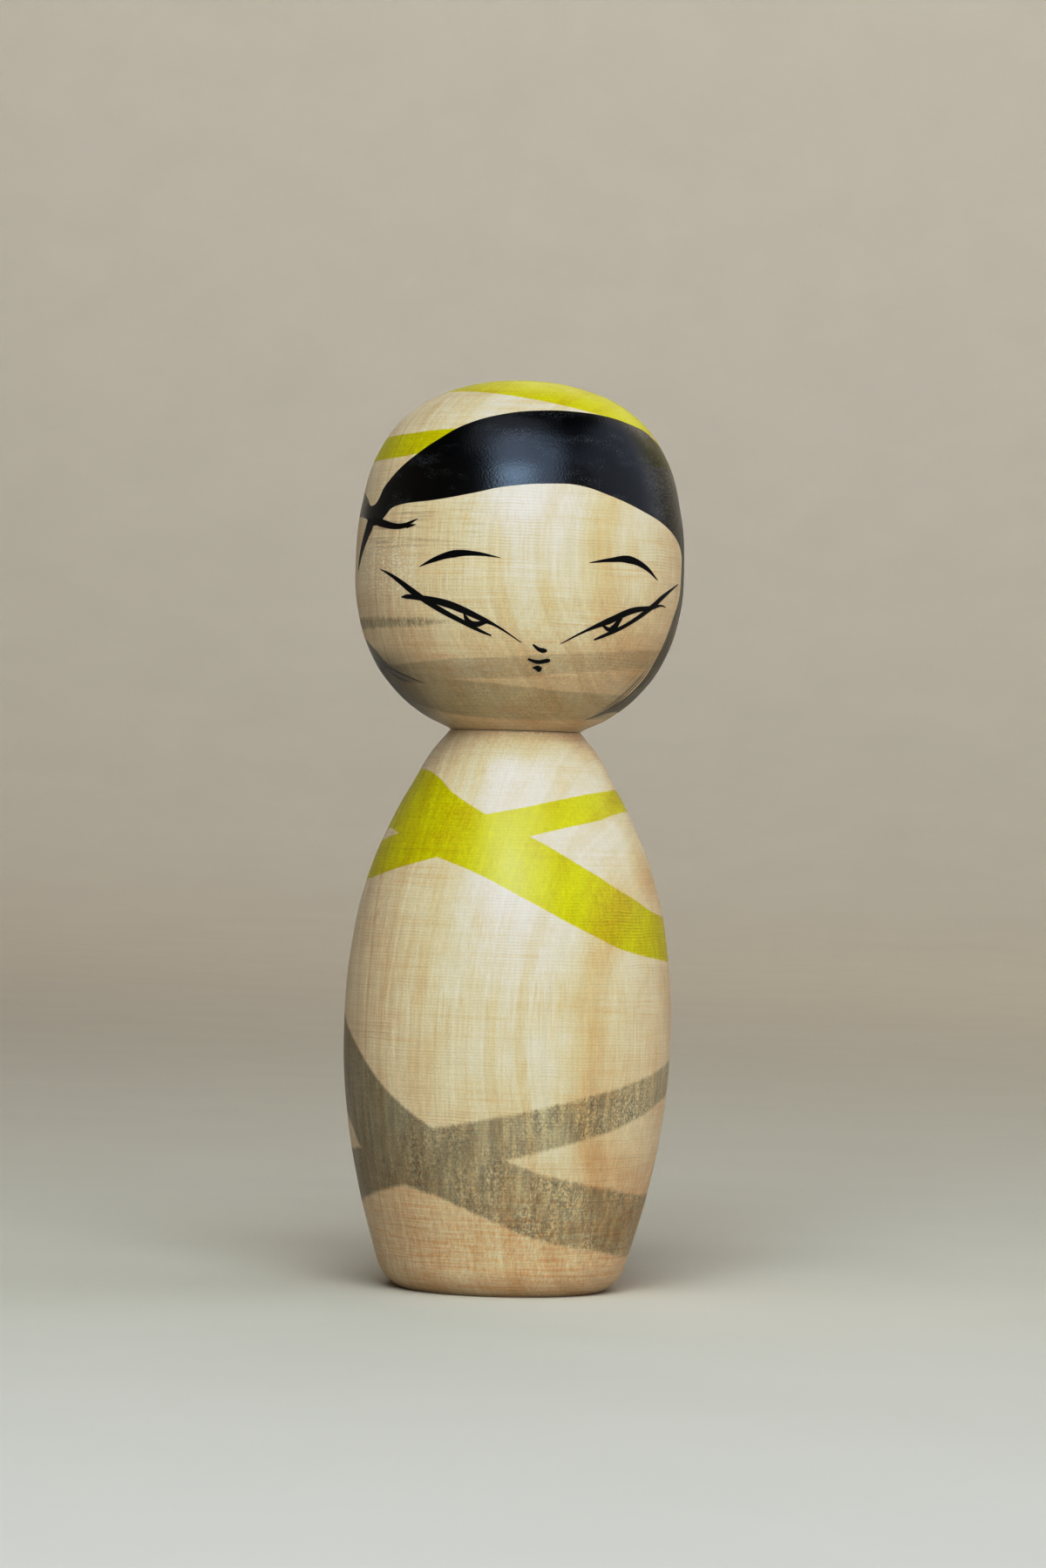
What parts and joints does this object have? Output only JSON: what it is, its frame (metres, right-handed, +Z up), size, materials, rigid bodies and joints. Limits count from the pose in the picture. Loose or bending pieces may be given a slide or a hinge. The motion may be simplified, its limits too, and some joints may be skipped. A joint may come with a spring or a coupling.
{
  "type": "kokeshi doll",
  "caption": "Turned wooden kokeshi doll: a barrel-shaped body on a flat base and a round head that turns on a peg, painted with a calm face, dark hair and crossing ribbons of dye.",
  "frame": {"origin": "middle of the flat base, on the turning axis", "axes": "+Z up along the turning axis, the face towards -Y, +X to the doll's own left"},
  "size_m": [0.0652, 0.0652, 0.18],
  "materials": {
    "body_wood": "satin",
    "head_wood": "satin",
    "peg_wood": "matte"
  },
  "bodies": {
    "body": {"body": "body_wood"},
    "head": {"head": "head_wood", "neck_peg": "peg_wood"}
  },
  "joints": [
    {"name": "head_turn", "type": "hinge", "parent": "body", "child": "head", "pos_m": [0, 0, 0.1105], "axis": [0, 0, 1], "continuous": true}
  ]
}
